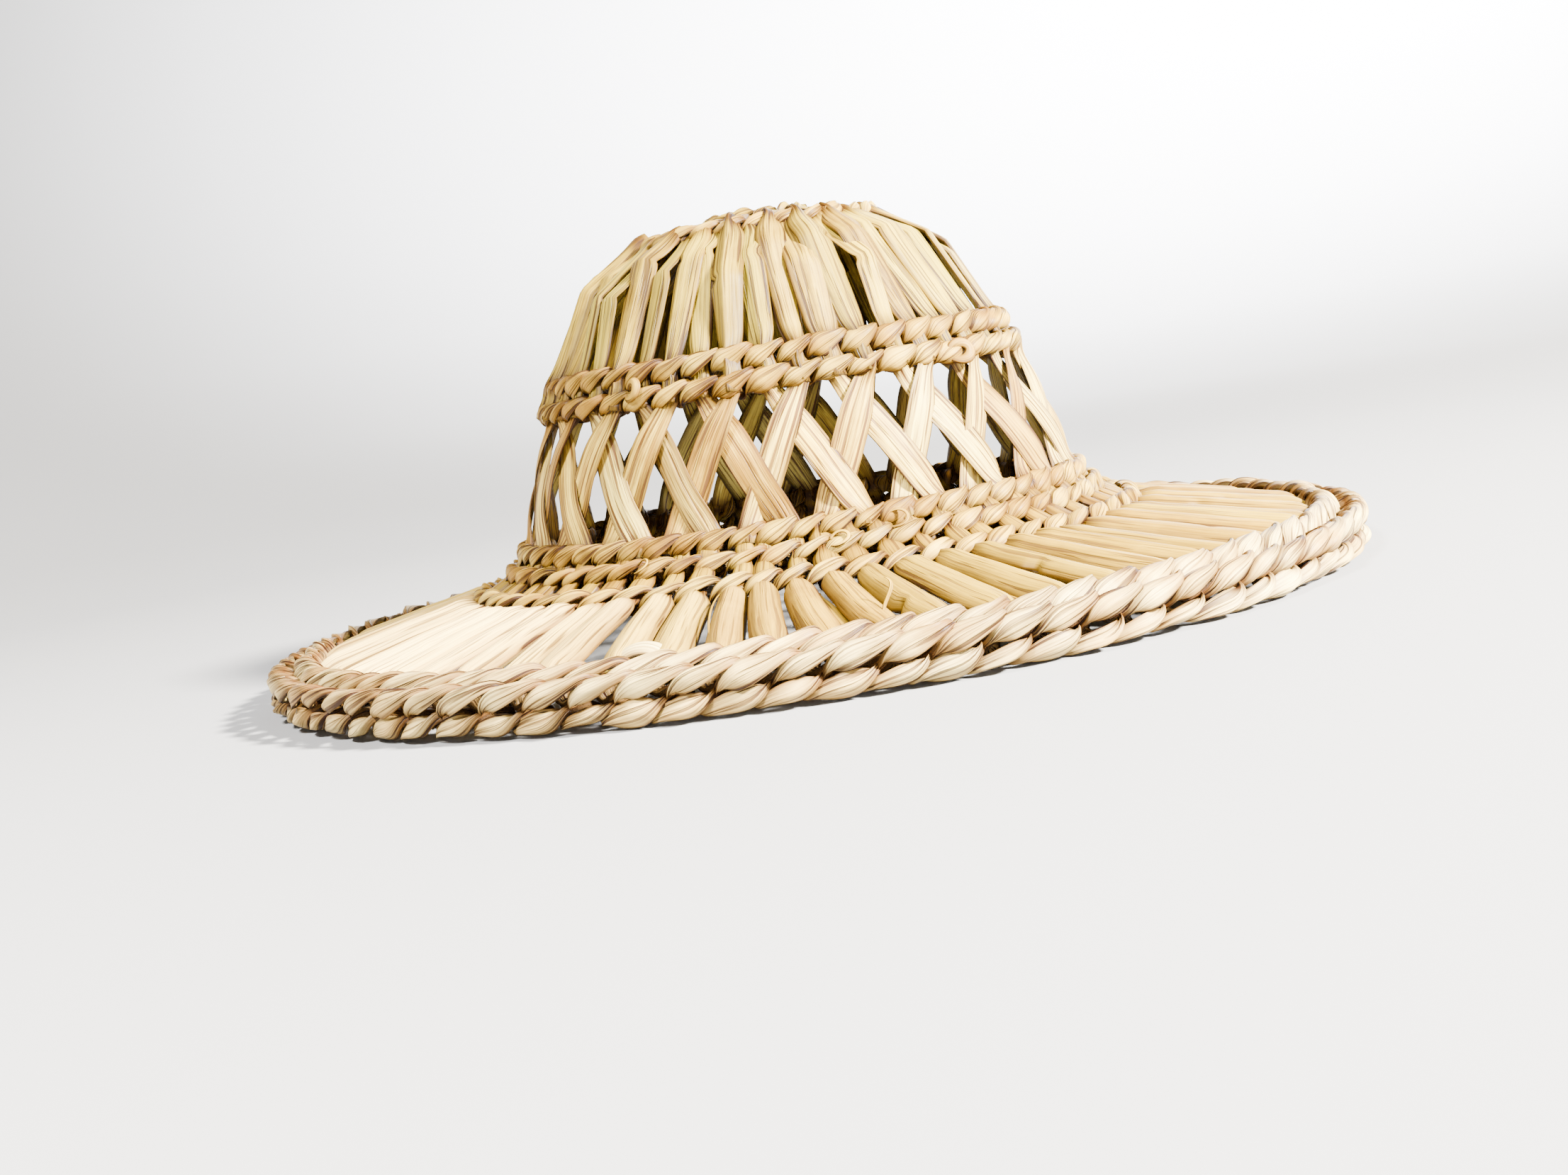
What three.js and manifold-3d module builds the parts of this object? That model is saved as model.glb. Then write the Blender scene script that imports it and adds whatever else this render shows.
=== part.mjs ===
// A wide-brimmed rush hat: a domed crown of upright flattened reeds with an openwork band of crossed
// reeds, and a sloping brim of puffed reeds inside a thick twined edge. Twined rows hold the reeds.
// Millimetres, +Z up, +X towards the front. The hat rests on its edge, at Z = 0, under its own middle.

import * as THREE from 'three';
import Module from 'manifold-3d';
import { mergeVertices } from 'three/addons/utils/BufferGeometryUtils.js';

const wasm = await Module();
wasm.setup();

// Driving dimensions.
const HEAD_LENGTH = 195; // inside the base rows, from front to back
const HEAD_WIDTH = 165; // inside the base rows, from side to side
const CROWN_RISE = 106.5; // from the upper base row to the tip
const BRIM_REACH = 81; // from the upper base row out to the inner edge row
const BRIM_DROP = 28.2; // how far the brim falls over that reach
const EDGE_HEIGHT = 11.3; // of the inner edge row's middle above the table

// Counts.
const TIP_REEDS = 28; // reeds that run in over the tip, held by the top row
const CROWN_REEDS = 46; // upright reeds, which are also the crossed strips of the openwork
const BASE_REEDS = 60; // more reeds are let in below the openwork
const BRIM_REEDS = 62; // and more again where the brim flares

// Sections.
const GAP = 0.3; // between pieces that meet
const ROW_THICKNESS = 8; // of a twined row, through the wall
const ROW_WIDTH = 8.4; // of a twined row, along the wall
const ROW_STEP = 9.1; // between the middles of two rows side by side, with room where the wall bends
const CROWN_REED = { edge: 1.6, crest: 3.4 }; // thickness at a reed's edges, and at its crest
const BRIM_REED = { edge: 2.4, crest: 6 };
const STRIP = { width: 7.6, thickness: 2.6, weave: 1 }; // weave: how far a strip leans out or in to cross
const TIP = { ridge: 1.8, valley: 0.6, under: 1.2 }; // its faces, off the wall's middle line
const TIP_RING = 0.35; // the tip's inner ring of corners, as a share of the way to the top row

// The two outer rows of the edge lie one on the other, just outside the inner one. reach is from the
// inner row's outer side to the row's middle, and thickness is measured level.
const OUTER_EDGE_ROWS = [
  { name: 'edge_upper_row', reach: 5, height: 13.1, width: 8.2, thickness: 10 },
  { name: 'edge_lower_row', reach: 6, height: 4.3, width: 8.6, thickness: 12 },
];

const COLOURS = { reed: '#d9c08c', strip: '#e2cd9f', row: '#e5cf9f', edge: '#e9d6ae' };

// The wall's middle line, from the tip outwards. On the crown, reach is a share of the base row's
// half-length and rise a share of the crown's height. On the brim, out and fall are shares of its reach
// and drop. oval is the share of the head's narrowing from side to side that is left there.
const CROWN_STATIONS = [
  { name: 'tip', reach: 0, rise: 1, oval: 0 },
  { name: 'top_row', reach: 0.414, rise: 0.949, oval: 0.15 },
  { name: 'shoulder', reach: 0.6, rise: 0.841, oval: 0.3 },
  { name: 'upper_crown', reach: 0.717, rise: 0.69, oval: 0.4 },
  { name: 'band_lower_row', reach: 0.835, rise: 0.458, oval: 0.6 },
  { name: 'openwork_middle', reach: 0.948, rise: 0.24, oval: 0.85 },
  { name: 'base_upper_row', reach: 1, rise: 0, oval: 1 },
];
const BRIM_STATIONS = [
  { name: 'base_turn', out: 0.1, fall: 0.29 },
  { name: 'brim_row', out: 0.228, fall: 0.485 },
  { name: 'brim_middle', out: 0.59, fall: 0.77 },
  { name: 'edge_inner_row', out: 1, fall: 1 },
];

const BASE_RADIUS = (HEAD_LENGTH + ROW_THICKNESS) / 2;
const BASE_HEIGHT = EDGE_HEIGHT + BRIM_DROP;
const NARROWING = (HEAD_LENGTH - HEAD_WIDTH) / 2;

// Each station as a point: x is the half-length, y how much shorter the half-width is, z the height.
const stationPoints = [
  ...CROWN_STATIONS.map(({ reach, rise, oval }) => [
    reach * BASE_RADIUS,
    oval * NARROWING,
    BASE_HEIGHT + rise * CROWN_RISE,
  ]),
  ...BRIM_STATIONS.map(({ out, fall }) => [
    BASE_RADIUS + out * BRIM_REACH,
    NARROWING,
    BASE_HEIGHT - fall * BRIM_DROP,
  ]),
].map((xyz) => new THREE.Vector3(...xyz));
const profile = new THREE.CatmullRomCurve3(stationPoints);

const STEPS_PER_STATION = 20;
const stationNames = [...CROWN_STATIONS, ...BRIM_STATIONS].map(({ name }) => name);
const lengths = profile.getLengths(STEPS_PER_STATION * (stationNames.length - 1));
const PROFILE_LENGTH = lengths.at(-1);

// The distance along the wall's middle line from the tip to a station.
const distanceTo = (name) => lengths[STEPS_PER_STATION * stationNames.indexOf(name)];

// Each twined row's middle, as a distance from the tip. Two pairs of rows lie side by side.
const ROWS = {
  top_row: distanceTo('top_row'),
  band_upper_row: distanceTo('band_lower_row') - ROW_STEP,
  band_lower_row: distanceTo('band_lower_row'),
  base_upper_row: distanceTo('base_upper_row'),
  base_lower_row: distanceTo('base_upper_row') + ROW_STEP,
  brim_row: distanceTo('brim_row'),
  edge_inner_row: distanceTo('edge_inner_row'),
};

// The middle line at a distance from the tip: its half-length, narrowing and height, and the wall's
// outward direction there, as out and up.
function wallAt(distance) {
  const share = THREE.MathUtils.clamp(distance / PROFILE_LENGTH, 0, 1);
  const { x: radius, y: narrowing, z: height } = profile.getPointAt(share);
  const tangent = profile.getTangentAt(share);
  const size = Math.hypot(tangent.x, tangent.z);
  return { radius, narrowing, height, out: -tangent.z / size, up: tangent.x / size };
}

// A point of an oval ring. Equal steps of turn are equal steps round it: the angle leads the turn by a
// sine of twice the turn, in proportion to how oval the ring is.
function onOval(halfLength, halfWidth, height, turn) {
  const lead = (halfLength - halfWidth) / (2 * Math.max(halfLength + halfWidth, 1));
  const angle = turn + lead * Math.sin(2 * turn);
  return new THREE.Vector3(halfLength * Math.cos(angle), halfWidth * Math.sin(angle), height);
}

// The wall's middle line beside a twined row, where reeds meet its flat side: below the row, or above.
function besideRow(name, side) {
  const across = side * (ROW_WIDTH / 2 + GAP);
  const row = wallAt(ROWS[name]);
  return { ...row, radius: row.radius + across * row.up, height: row.height - across * row.out };
}
const ABOVE = -1;
const BELOW = 1;

// The wall between two rows, by the share of the way down from the upper one.
function wallBetween(upper, lower) {
  const start = ROWS[upper] + ROW_WIDTH / 2;
  const end = ROWS[lower] - ROW_WIDTH / 2;
  return (depth) => {
    if (depth === 0) return besideRow(upper, BELOW);
    if (depth === 1) return besideRow(lower, ABOVE);
    return wallAt(THREE.MathUtils.lerp(start, end, depth));
  };
}

// A point at a place of the wall, lifted out of its middle line by lift.
function lifted({ radius, narrowing, height, out, up }, turn, lift) {
  const halfLength = radius + lift * out;
  return onOval(halfLength, Math.max(halfLength - narrowing, 0), height + lift * up, turn);
}

// A closed surface gathered from triangles and quads, as a geometry whose faces point out.
function surface(gather) {
  const corners = [];
  const triangle = (...abc) => corners.push(abc);
  const quad = (a, b, c, d) => corners.push([a, b, c], [a, c, d]);
  gather(triangle, quad);
  const volume = corners.reduce((sum, [a, b, c]) => sum + a.dot(b.clone().cross(c)), 0);
  const facing = corners.map(([a, b, c]) => (volume < 0 ? [a, c, b] : [a, b, c]));
  const geometry = new THREE.BufferGeometry().setFromPoints(facing.flat());
  geometry.computeVertexNormals();
  return geometry;
}

// Quads between each section and the next, round each section's outline.
function skinBetween(sections, quad) {
  sections.slice(1).forEach((next, i) => {
    next.forEach((corner, j) => {
      const k = (j + 1) % next.length;
      quad(sections[i][j], corner, next[k], sections[i][k]);
    });
  });
}

// A bar lofted through sections, closed at both ends by fans.
function bar(sections) {
  return surface((triangle, quad) => {
    skinBetween(sections, quad);
    const first = sections[0];
    const last = sections.at(-1);
    for (let j = 1; j < first.length - 1; j += 1) {
      triangle(first[0], first[j], first[j + 1]);
      triangle(last[0], last[j + 1], last[j]);
    }
  });
}

// A ring lofted through a section at each turn and back to the first.
function ring(sectionAt, count) {
  const sections = Array.from({ length: count }, (_, i) => sectionAt((2 * Math.PI * i) / count));
  return surface((_, quad) => skinBetween([...sections, sections[0]], quad));
}

// The outline of a twined row about its middle: flat where it meets reeds or another row, flat
// inside, and swollen to a point outside. Each corner is a place across the row and a lift out of it.
const rowOutline = (width, thickness) => [
  { across: 0, lift: thickness / 2 },
  { across: width / 2, lift: thickness * 0.15 },
  { across: width / 2, lift: -thickness / 2 },
  { across: -width / 2, lift: -thickness / 2 },
  { across: -width / 2, lift: thickness * 0.15 },
];

// A twined row on the wall.
function twinedRow(name, count) {
  return rowRing({ ...wallAt(ROWS[name]), width: ROW_WIDTH, thickness: ROW_THICKNESS }, count);
}

// A twined row about a place, with its outward direction as out and up.
function rowRing({ radius, narrowing, height, out, up, width, thickness }, count) {
  const outline = rowOutline(width, thickness);
  return ring(
    (turn) =>
      outline.map(({ across, lift }) => {
        const halfLength = radius + lift * out + across * up;
        return onOval(halfLength, halfLength - narrowing, height + lift * up - across * out, turn);
      }),
    count,
  );
}

// A wall of reeds side by side round the hat. At the shares of its depth given in rows, each reed is
// as wide as that row's share of its pitch: where it is 1 the reeds join, and where less a slit is open.
function reedWall({ wall, reeds, rows, reed }) {
  const pitch = (2 * Math.PI) / reeds;
  const sectionAt = ({ depth, width }, i) => {
    const place = wall(depth);
    const middle = i * pitch;
    const half = (width * pitch) / 2;
    return {
      joined: width === 1,
      outer: [
        lifted(place, middle - half, reed.edge / 2),
        lifted(place, middle, reed.crest - reed.edge / 2),
        lifted(place, middle + half, reed.edge / 2),
      ],
      inner: [
        lifted(place, middle - half, -reed.edge / 2),
        lifted(place, middle + half, -reed.edge / 2),
      ],
    };
  };
  return surface((triangle, quad) => {
    for (let i = 0; i < reeds; i += 1) {
      const sections = rows.map((row) => sectionAt(row, i));
      sections.slice(1).forEach((low, r) => {
        const high = sections[r];
        quad(high.outer[0], low.outer[0], low.outer[1], high.outer[1]);
        quad(high.outer[1], low.outer[1], low.outer[2], high.outer[2]);
        quad(high.inner[1], low.inner[1], low.inner[0], high.inner[0]);
        if (high.joined && low.joined) return;
        quad(high.inner[0], low.inner[0], low.outer[0], high.outer[0]);
        quad(high.outer[2], low.outer[2], low.inner[1], high.inner[1]);
      });
      const [first, last] = [sections[0], sections.at(-1)];
      [
        [first, 0, 1],
        [last, 1, 0],
      ].forEach(([{ outer, inner }, a, b]) => {
        const [left, right] = [outer[a * 2], outer[b * 2]];
        triangle(left, outer[1], inner[a]);
        triangle(outer[1], right, inner[b]);
        triangle(outer[1], inner[b], inner[a]);
      });
    }
  });
}

// The tip: a shallow dome, with a ridge along every other reed and a valley between.
function tipDisc() {
  const rims = [wallAt(TIP_RING * ROWS.top_row), besideRow('top_row', ABOVE)];
  const lifts = { top: (column) => (column % 2 ? TIP.valley : TIP.ridge), bottom: () => -TIP.under };
  const rim = (place, lift) =>
    Array.from({ length: TIP_REEDS }, (_, i) => lifted(place, (2 * Math.PI * i) / TIP_REEDS, lift(i)));
  return surface((triangle, quad) => {
    const tops = rims.map((place) => rim(place, lifts.top));
    const bottoms = rims.map((place) => rim(place, lifts.bottom));
    const [peak, pit] = [lifts.top(0), lifts.bottom()].map((lift) => lifted(wallAt(0), 0, lift));
    for (let i = 0; i < TIP_REEDS; i += 1) {
      const k = (i + 1) % TIP_REEDS;
      triangle(peak, tops[0][i], tops[0][k]);
      quad(tops[0][i], tops[1][i], tops[1][k], tops[0][k]);
      quad(tops[1][i], bottoms[1][i], bottoms[1][k], tops[1][k]);
      quad(bottoms[0][k], bottoms[1][k], bottoms[1][i], bottoms[0][i]);
      triangle(pit, bottoms[0][k], bottoms[0][i]);
    }
  });
}

// A geometry as a solid for joining.
function toSolid(geometry) {
  const bare = geometry.clone();
  bare.deleteAttribute('normal');
  const merged = mergeVertices(bare, 1e-4);
  return new wasm.Manifold(
    new wasm.Mesh({
      numProp: 3,
      vertProperties: merged.attributes.position.array,
      triVerts: new Uint32Array(merged.index.array),
    }),
  );
}

// Solids joined into one geometry.
function join(geometries) {
  const mesh = geometries.map(toSolid).reduce((whole, next) => whole.add(next)).getMesh();
  const geometry = new THREE.BufferGeometry();
  geometry.setAttribute('position', new THREE.BufferAttribute(mesh.vertProperties, 3));
  geometry.setIndex(new THREE.BufferAttribute(mesh.triVerts, 1));
  geometry.computeVertexNormals();
  return geometry;
}

// The openwork: from each knot of the band's lower row a strip runs down to the base row two knots
// further on, to the right from even knots and to the left from odd ones. Each strip crosses two
// others, at a quarter and three quarters of its depth, in front of one and behind the other.
function openwork() {
  const pitch = (2 * Math.PI) / CROWN_REEDS;
  const wall = wallBetween('band_lower_row', 'base_upper_row');
  const strips = Array.from({ length: CROWN_REEDS }, (_, knot) => {
    const side = knot % 2 ? -1 : 1;
    const stops = [
      { depth: 0, lean: 0 },
      { depth: 0.25, lean: -side },
      { depth: 0.5, lean: 0 },
      { depth: 0.75, lean: side },
      { depth: 1, lean: 0 },
    ];
    return bar(
      stops.map(({ depth, lean }) => {
        const place = wall(depth);
        const turn = pitch * (knot + 2 * side * depth);
        const half = STRIP.width / 2 / place.radius;
        const lift = lean * STRIP.weave;
        const [low, high] = [lift - STRIP.thickness / 2, lift + STRIP.thickness / 2];
        return [
          lifted(place, turn - half, low),
          lifted(place, turn + half, low),
          lifted(place, turn + half, high),
          lifted(place, turn - half, high),
        ];
      }),
    );
  });
  return join(strips);
}

// An outer row of the edge, upright and level all round.
function outerEdgeRow({ reach, height, width, thickness }) {
  const radius = BASE_RADIUS + BRIM_REACH + ROW_WIDTH / 2 + GAP + reach;
  return rowRing({ radius, narrowing: NARROWING, height, out: 1, up: 0, width, thickness }, BRIM_REEDS);
}

const hat = new THREE.Group();

function add(name, geometry, colour) {
  const material = new THREE.MeshStandardMaterial({ color: colour, roughness: 0.6, metalness: 0 });
  const mesh = new THREE.Mesh(geometry, material);
  mesh.name = name;
  hat.add(mesh);
}

add('tip', tipDisc(), COLOURS.reed);
add('top_row', twinedRow('top_row', TIP_REEDS), COLOURS.row);
add(
  'crown_reeds',
  reedWall({
    wall: wallBetween('top_row', 'band_upper_row'),
    reeds: CROWN_REEDS,
    rows: [
      { depth: 0, width: 1 },
      { depth: 0.25, width: 1 },
      { depth: 0.72, width: 0.8 },
      { depth: 0.96, width: 1 },
      { depth: 1, width: 1 },
    ],
    reed: CROWN_REED,
  }),
  COLOURS.reed,
);
add('band_upper_row', twinedRow('band_upper_row', CROWN_REEDS), COLOURS.row);
add('band_lower_row', twinedRow('band_lower_row', CROWN_REEDS), COLOURS.row);
add('openwork', openwork(), COLOURS.strip);
add('base_upper_row', twinedRow('base_upper_row', BASE_REEDS), COLOURS.row);
add('base_lower_row', twinedRow('base_lower_row', BASE_REEDS), COLOURS.row);
add(
  'collar_reeds',
  reedWall({
    wall: wallBetween('base_lower_row', 'brim_row'),
    reeds: BRIM_REEDS,
    rows: [
      { depth: 0, width: 1 },
      { depth: 1, width: 1 },
    ],
    reed: CROWN_REED,
  }),
  COLOURS.reed,
);
add('brim_row', twinedRow('brim_row', BRIM_REEDS), COLOURS.row);
add(
  'brim_reeds',
  reedWall({
    wall: wallBetween('brim_row', 'edge_inner_row'),
    reeds: BRIM_REEDS,
    rows: [
      { depth: 0, width: 1 },
      { depth: 0.5, width: 1 },
      { depth: 1, width: 1 },
    ],
    reed: BRIM_REED,
  }),
  COLOURS.reed,
);
add('edge_inner_row', twinedRow('edge_inner_row', BRIM_REEDS), COLOURS.edge);
OUTER_EDGE_ROWS.forEach(({ name, ...row }) => add(name, outerEdgeRow(row), COLOURS.edge));

export default hat;
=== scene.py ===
"""The looks of a rush hat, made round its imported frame: reeds, openwork, twined rows and thick edge.

Metres, +Z up, +X towards the front of the hat. A turn is an angle round the hat from +X, a distance runs
along the middle line of the hat's wall from the tip outwards, a lift goes out of the wall, and an across
goes down the wall.
"""

import math

import bpy
import numpy as np
from mathutils import Matrix, Vector


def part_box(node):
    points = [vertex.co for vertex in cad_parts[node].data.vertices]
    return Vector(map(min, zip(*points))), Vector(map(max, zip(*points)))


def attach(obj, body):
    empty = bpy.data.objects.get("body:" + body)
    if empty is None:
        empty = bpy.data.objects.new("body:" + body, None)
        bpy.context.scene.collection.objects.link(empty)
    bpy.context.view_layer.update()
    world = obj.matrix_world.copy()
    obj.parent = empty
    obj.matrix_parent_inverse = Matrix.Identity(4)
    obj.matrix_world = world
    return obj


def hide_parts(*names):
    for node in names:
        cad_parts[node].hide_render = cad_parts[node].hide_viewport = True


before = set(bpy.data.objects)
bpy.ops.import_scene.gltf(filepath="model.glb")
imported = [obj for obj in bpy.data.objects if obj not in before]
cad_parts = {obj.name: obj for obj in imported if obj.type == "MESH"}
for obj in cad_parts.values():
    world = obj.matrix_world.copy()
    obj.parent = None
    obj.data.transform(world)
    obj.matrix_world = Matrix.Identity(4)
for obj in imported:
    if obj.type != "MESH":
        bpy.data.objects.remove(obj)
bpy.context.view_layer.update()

MM = 0.001

# Counts round the hat.
CROWN_REEDS = 46
BASE_REEDS = 60
BRIM_REEDS = 62
THIN_REEDS = 24
TIP_REEDS = 28
EDGE_STITCHES = 80

WALL_ROWS = (
    "top_row", "band_upper_row", "band_lower_row", "base_upper_row", "base_lower_row", "brim_row",
    "edge_inner_row",
)
# How far the wall bulges out of the straight line, halfway from this row to the next.
BULGES = {"top_row": 6.8 * MM, "band_lower_row": 3.2 * MM, "brim_row": -0.6 * MM}
# How far the tip's outside lies over the wall's middle line.
TIP_CREST = 1.8 * MM
# How far the wall's line is carried on under the outer edge rows.
LINE_END = 14 * MM
LINE_STEPS = 4000
# How far from the tip its small middle row lies.
TIP_ROW_AT = 17 * MM

# How far a brim reed leans on by the edge, as a share of the step from reed to reed.
BRIM_LEAN = 0.66
# The brim's reeds are slim and stand close to each other round this turn, slimmer by this many
# millimetres of half-width.
SLIM_TURN = math.radians(-97)
SLIM_REACH = math.radians(15)
SLIMMER = 1.1
CROWDING = 0.2
# The brim's reeds get painted light round this turn: their colour is drawn towards a pale one, as if lit
# more strongly there.
PAINTED_LIGHT_TURN = math.radians(-150)
PAINTED_LIGHT_REACH = math.radians(30)
# Seeds of the random draws. Rows, fibres and loops count on from their first.
SEEDS = {
    "crown": 11, "openwork": 23, "collar": 31, "brim": 43, "tip": 53, "tip_row": 61, "rows": 71,
    "fibres": 90, "loops": 95,
}

# The wall

def ring_place(node):
    """Half-length, narrowing and height of a ring's middle: the mean of its corners on the X axis.

    The narrowing is how much shorter the half-width is than the half-length.
    """
    corners = np.array([v.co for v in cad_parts[node].data.vertices])
    on_axis = np.abs(corners[:, 1]) < 0.001 * MM
    front = np.unique(corners[(corners[:, 0] > 0) & on_axis].round(6), axis=0)
    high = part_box(node)[1]
    return np.array([front[:, 0].mean(), high.x - high.y, front[:, 2].mean()])

def wall_knots():
    """The wall's middle at the tip, at each row and at each bulge, with the rows' places in the list."""
    places = [ring_place(node) for node in WALL_ROWS]
    knots = [np.array([0, 0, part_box("tip")[1].z - TIP_CREST])]
    row_knots = {}
    for i, (node, place) in enumerate(zip(WALL_ROWS, places)):
        row_knots[node] = len(knots)
        knots.append(place)
        if node in BULGES:
            run = places[i + 1] - place
            normal = np.array([-run[2], 0, run[0]]) / math.hypot(run[0], run[2])
            knots.append((place + places[i + 1]) / 2 + normal * BULGES[node])
    run = places[-1] - places[-2]
    knots.append(places[-1] + run / math.hypot(run[0], run[2]) * LINE_END)
    return np.array(knots), row_knots

def smooth_curve(knots, steps):
    """A cubic through the knots, with the slope at each that a parabola through three of them has.

    The first knot is the tip, so the knot before it is the second one's mirror image.
    """
    mirror = knots[1] * [-1, 1, 1]
    knots = np.vstack([mirror, knots, 2 * knots[-1] - knots[-2]])
    at = np.concatenate([[0], np.cumsum(np.linalg.norm(np.diff(knots, axis=0), axis=1))])
    gaps = np.diff(at)[:, None]
    secants = np.diff(knots, axis=0) / gaps
    slopes = (secants[:-1] * gaps[1:] + secants[1:] * gaps[:-1]) / (gaps[1:] + gaps[:-1])
    knots, at, gaps = knots[1:-1], at[1:-1], gaps[1:-1, 0]
    t = np.linspace(at[0], at[-1], steps)
    i = np.clip(np.searchsorted(at, t, side="right") - 1, 0, len(at) - 2)
    h = gaps[i][:, None]
    s = (t[:, None] - at[i][:, None]) / h
    curve = (
        (2 * s**3 - 3 * s**2 + 1) * knots[i]
        + (s**3 - 2 * s**2 + s) * h * slopes[i]
        + (3 * s**2 - 2 * s**3) * knots[i + 1]
        + (s**3 - s**2) * h * slopes[i + 1]
    )
    return curve, t, at

knots, row_knots = wall_knots()
curve, curve_at, knots_at = smooth_curve(knots, LINE_STEPS)
HALF_LENGTH, NARROWING, HEIGHT = curve.T
steps = np.hypot(np.diff(HALF_LENGTH), np.diff(HEIGHT))
DISTANCE = np.concatenate([[0], np.cumsum(steps)])
RUN_OUT = np.gradient(HALF_LENGTH, DISTANCE)
RUN_UP = np.gradient(HEIGHT, DISTANCE)
ROW = {node: float(np.interp(knots_at[k], curve_at, DISTANCE)) for node, k in row_knots.items()}

def wall_at(distance):
    """The wall's middle line at a distance: half-length, narrowing, height, and its run out and up."""
    return [
        np.interp(distance, DISTANCE, column)
        for column in (HALF_LENGTH, NARROWING, HEIGHT, RUN_OUT, RUN_UP)
    ]

def oval_point(place, turn, lift, across):
    """Half-length times cosine, half-width times sine, and height, after the lift and the across.

    The angle leads the turn by a sine of twice the turn, so that equal turns are equal steps round.
    """
    half, narrowing, height, run_out, run_up = place
    half = half - lift * run_up + across * run_out
    height = height + lift * run_out + across * run_up
    width = np.maximum(half - narrowing, 0)
    lead = (half - width) / (2 * np.maximum(half + width, MM))
    angle = turn + lead * np.sin(2 * turn)
    return np.stack(np.broadcast_arrays(half * np.cos(angle), width * np.sin(angle), height), -1)

def unit(vectors):
    """The vectors at length 1."""
    return vectors / np.linalg.norm(vectors, axis=-1, keepdims=True)

def wall_frame(place, turn, lift, across=0.0):
    """A point of the wall, its outward direction and its direction down the wall."""
    middle = oval_point(place, turn, lift, across)
    outward = oval_point(place, turn, lift + MM, across) - middle
    down = oval_point(place, turn, lift, across + MM) - middle
    return middle, unit(outward), unit(down)

# Meshes

def sweep(centre, outward, sideways, upward, closed=False):
    """Sections carried along paths: centre + side * sideways + up * upward.

    Side is the outward direction crossed with the path's, and up is the path's crossed with side.
    centre and outward are paths by steps by 3, sideways and upward are paths by steps by corners.
    """
    if closed:
        along = np.roll(centre, -1, axis=1) - np.roll(centre, 1, axis=1)
    else:
        along = np.gradient(centre, axis=1)
    along = unit(along)
    side = unit(np.cross(outward, along))
    up = np.cross(along, side)
    return (
        centre[:, :, None]
        + side[:, :, None] * sideways[..., None]
        + up[:, :, None] * upward[..., None]
    )

def tube_faces(shape, closed):
    """Quads between the sections of each tube, and a cap at each end of an open one."""
    tubes, length, around = shape
    index = np.arange(tubes * length * around).reshape(shape)
    here = index if closed else index[:, :-1]
    there = np.roll(index, -1, axis=1) if closed else index[:, 1:]
    quads = np.stack([here, np.roll(here, -1, 2), np.roll(there, -1, 2), there], -1).reshape(-1, 4)
    caps = [] if closed else [index[:, 0, ::-1], index[:, -1]]
    return quads, caps

def facing_out(points, quads):
    """Whether the quads face out: the sum of their middles dotted with their normals is above 0."""
    corner = points.reshape(-1, 3)[quads]
    normal = np.cross(corner[:, 2] - corner[:, 0], corner[:, 3] - corner[:, 1])
    return (corner.mean(1) * normal).sum() > 0

def add_mesh(name, points, faces, fibre, values):
    """A smooth mesh object from arrays, with a UV map that follows the fibres.

    Each of the values becomes an attribute of its own name, with a number for each point.
    """
    loops = np.concatenate([f.ravel() for f in faces]).astype(np.int32)
    sizes = np.concatenate([np.full(len(f), f.shape[1]) for f in faces])
    starts = np.concatenate([[0], np.cumsum(sizes)[:-1]]).astype(np.int32)
    mesh = bpy.data.meshes.new(name)
    mesh.vertices.add(points.size // 3)
    mesh.vertices.foreach_set("co", points.astype(np.float32).ravel())
    mesh.loops.add(len(loops))
    mesh.loops.foreach_set("vertex_index", loops)
    mesh.polygons.add(len(starts))
    mesh.polygons.foreach_set("loop_start", starts)
    mesh.polygons.foreach_set("use_smooth", np.ones(len(starts), bool))
    mesh.update(calc_edges=True)
    uv = mesh.uv_layers.new(name="fibre")
    uv.data.foreach_set("uv", fibre.reshape(-1, 2)[loops].astype(np.float32).ravel())
    for key, value in values.items():
        attribute = mesh.attributes.new(key, "FLOAT", "POINT")
        full = np.broadcast_to(value, points.shape[:-1])
        attribute.data.foreach_set("value", full.astype(np.float32).ravel())
    piece = bpy.data.objects.new(name, mesh)
    bpy.context.scene.collection.objects.link(piece)
    return piece

def add_tubes(name, groups):
    """One object from groups of tubes. Each group has its points, fibre map, values and closed."""
    points, fibre, faces, values = [], [], [], {}
    first = 0
    for group in groups:
        quads, caps = tube_faces(group["points"].shape[:3], group["closed"])
        parts = [quads, *caps]
        if not facing_out(group["points"], quads):
            parts = [part[:, ::-1] for part in parts]
        faces += [part + first for part in parts]
        first += group["points"].size // 3
        points.append(group["points"].reshape(-1, 3))
        fibre.append(group["fibre"].reshape(-1, 2))
        for key, value in group["values"].items():
            full = np.broadcast_to(value, group["points"].shape[:3])
            values.setdefault(key, []).append(full.ravel())
    faces = sorted(faces, key=lambda part: part.shape[1])
    values = {key: np.concatenate(parts) for key, parts in values.items()}
    return add_mesh(name, np.concatenate(points), faces, np.concatenate(fibre), values)

# Irregularity

def ease(x):
    """From 0 to 1 with level ends: the smoothstep of x."""
    x = np.clip(x, 0, 1)
    return x * x * (3 - 2 * x)

def bell(x):
    """A bell curve, 1 at 0: e to the power of minus x squared."""
    return np.exp(-(x**2))

def away_from(middle, turn):
    """How far on a turn is from another, from minus half a round to half a round."""
    return np.angle(np.exp(1j * (turn - middle)))

def slimness(turn):
    """A bell curve round the turn where the brim's reeds are slimmest."""
    return bell(away_from(SLIM_TURN, turn) / SLIM_REACH)

def painted_light_at(turn):
    """A bell curve round the turn where the brim's reeds get the most painted light."""
    return bell(away_from(PAINTED_LIGHT_TURN, turn) / PAINTED_LIGHT_REACH)

def crowded(turn):
    """Turns drawn towards the slim reeds, by the crowding times how far away and how slim they are."""
    return turn - CROWDING * away_from(SLIM_TURN, turn) * slimness(turn)

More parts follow.
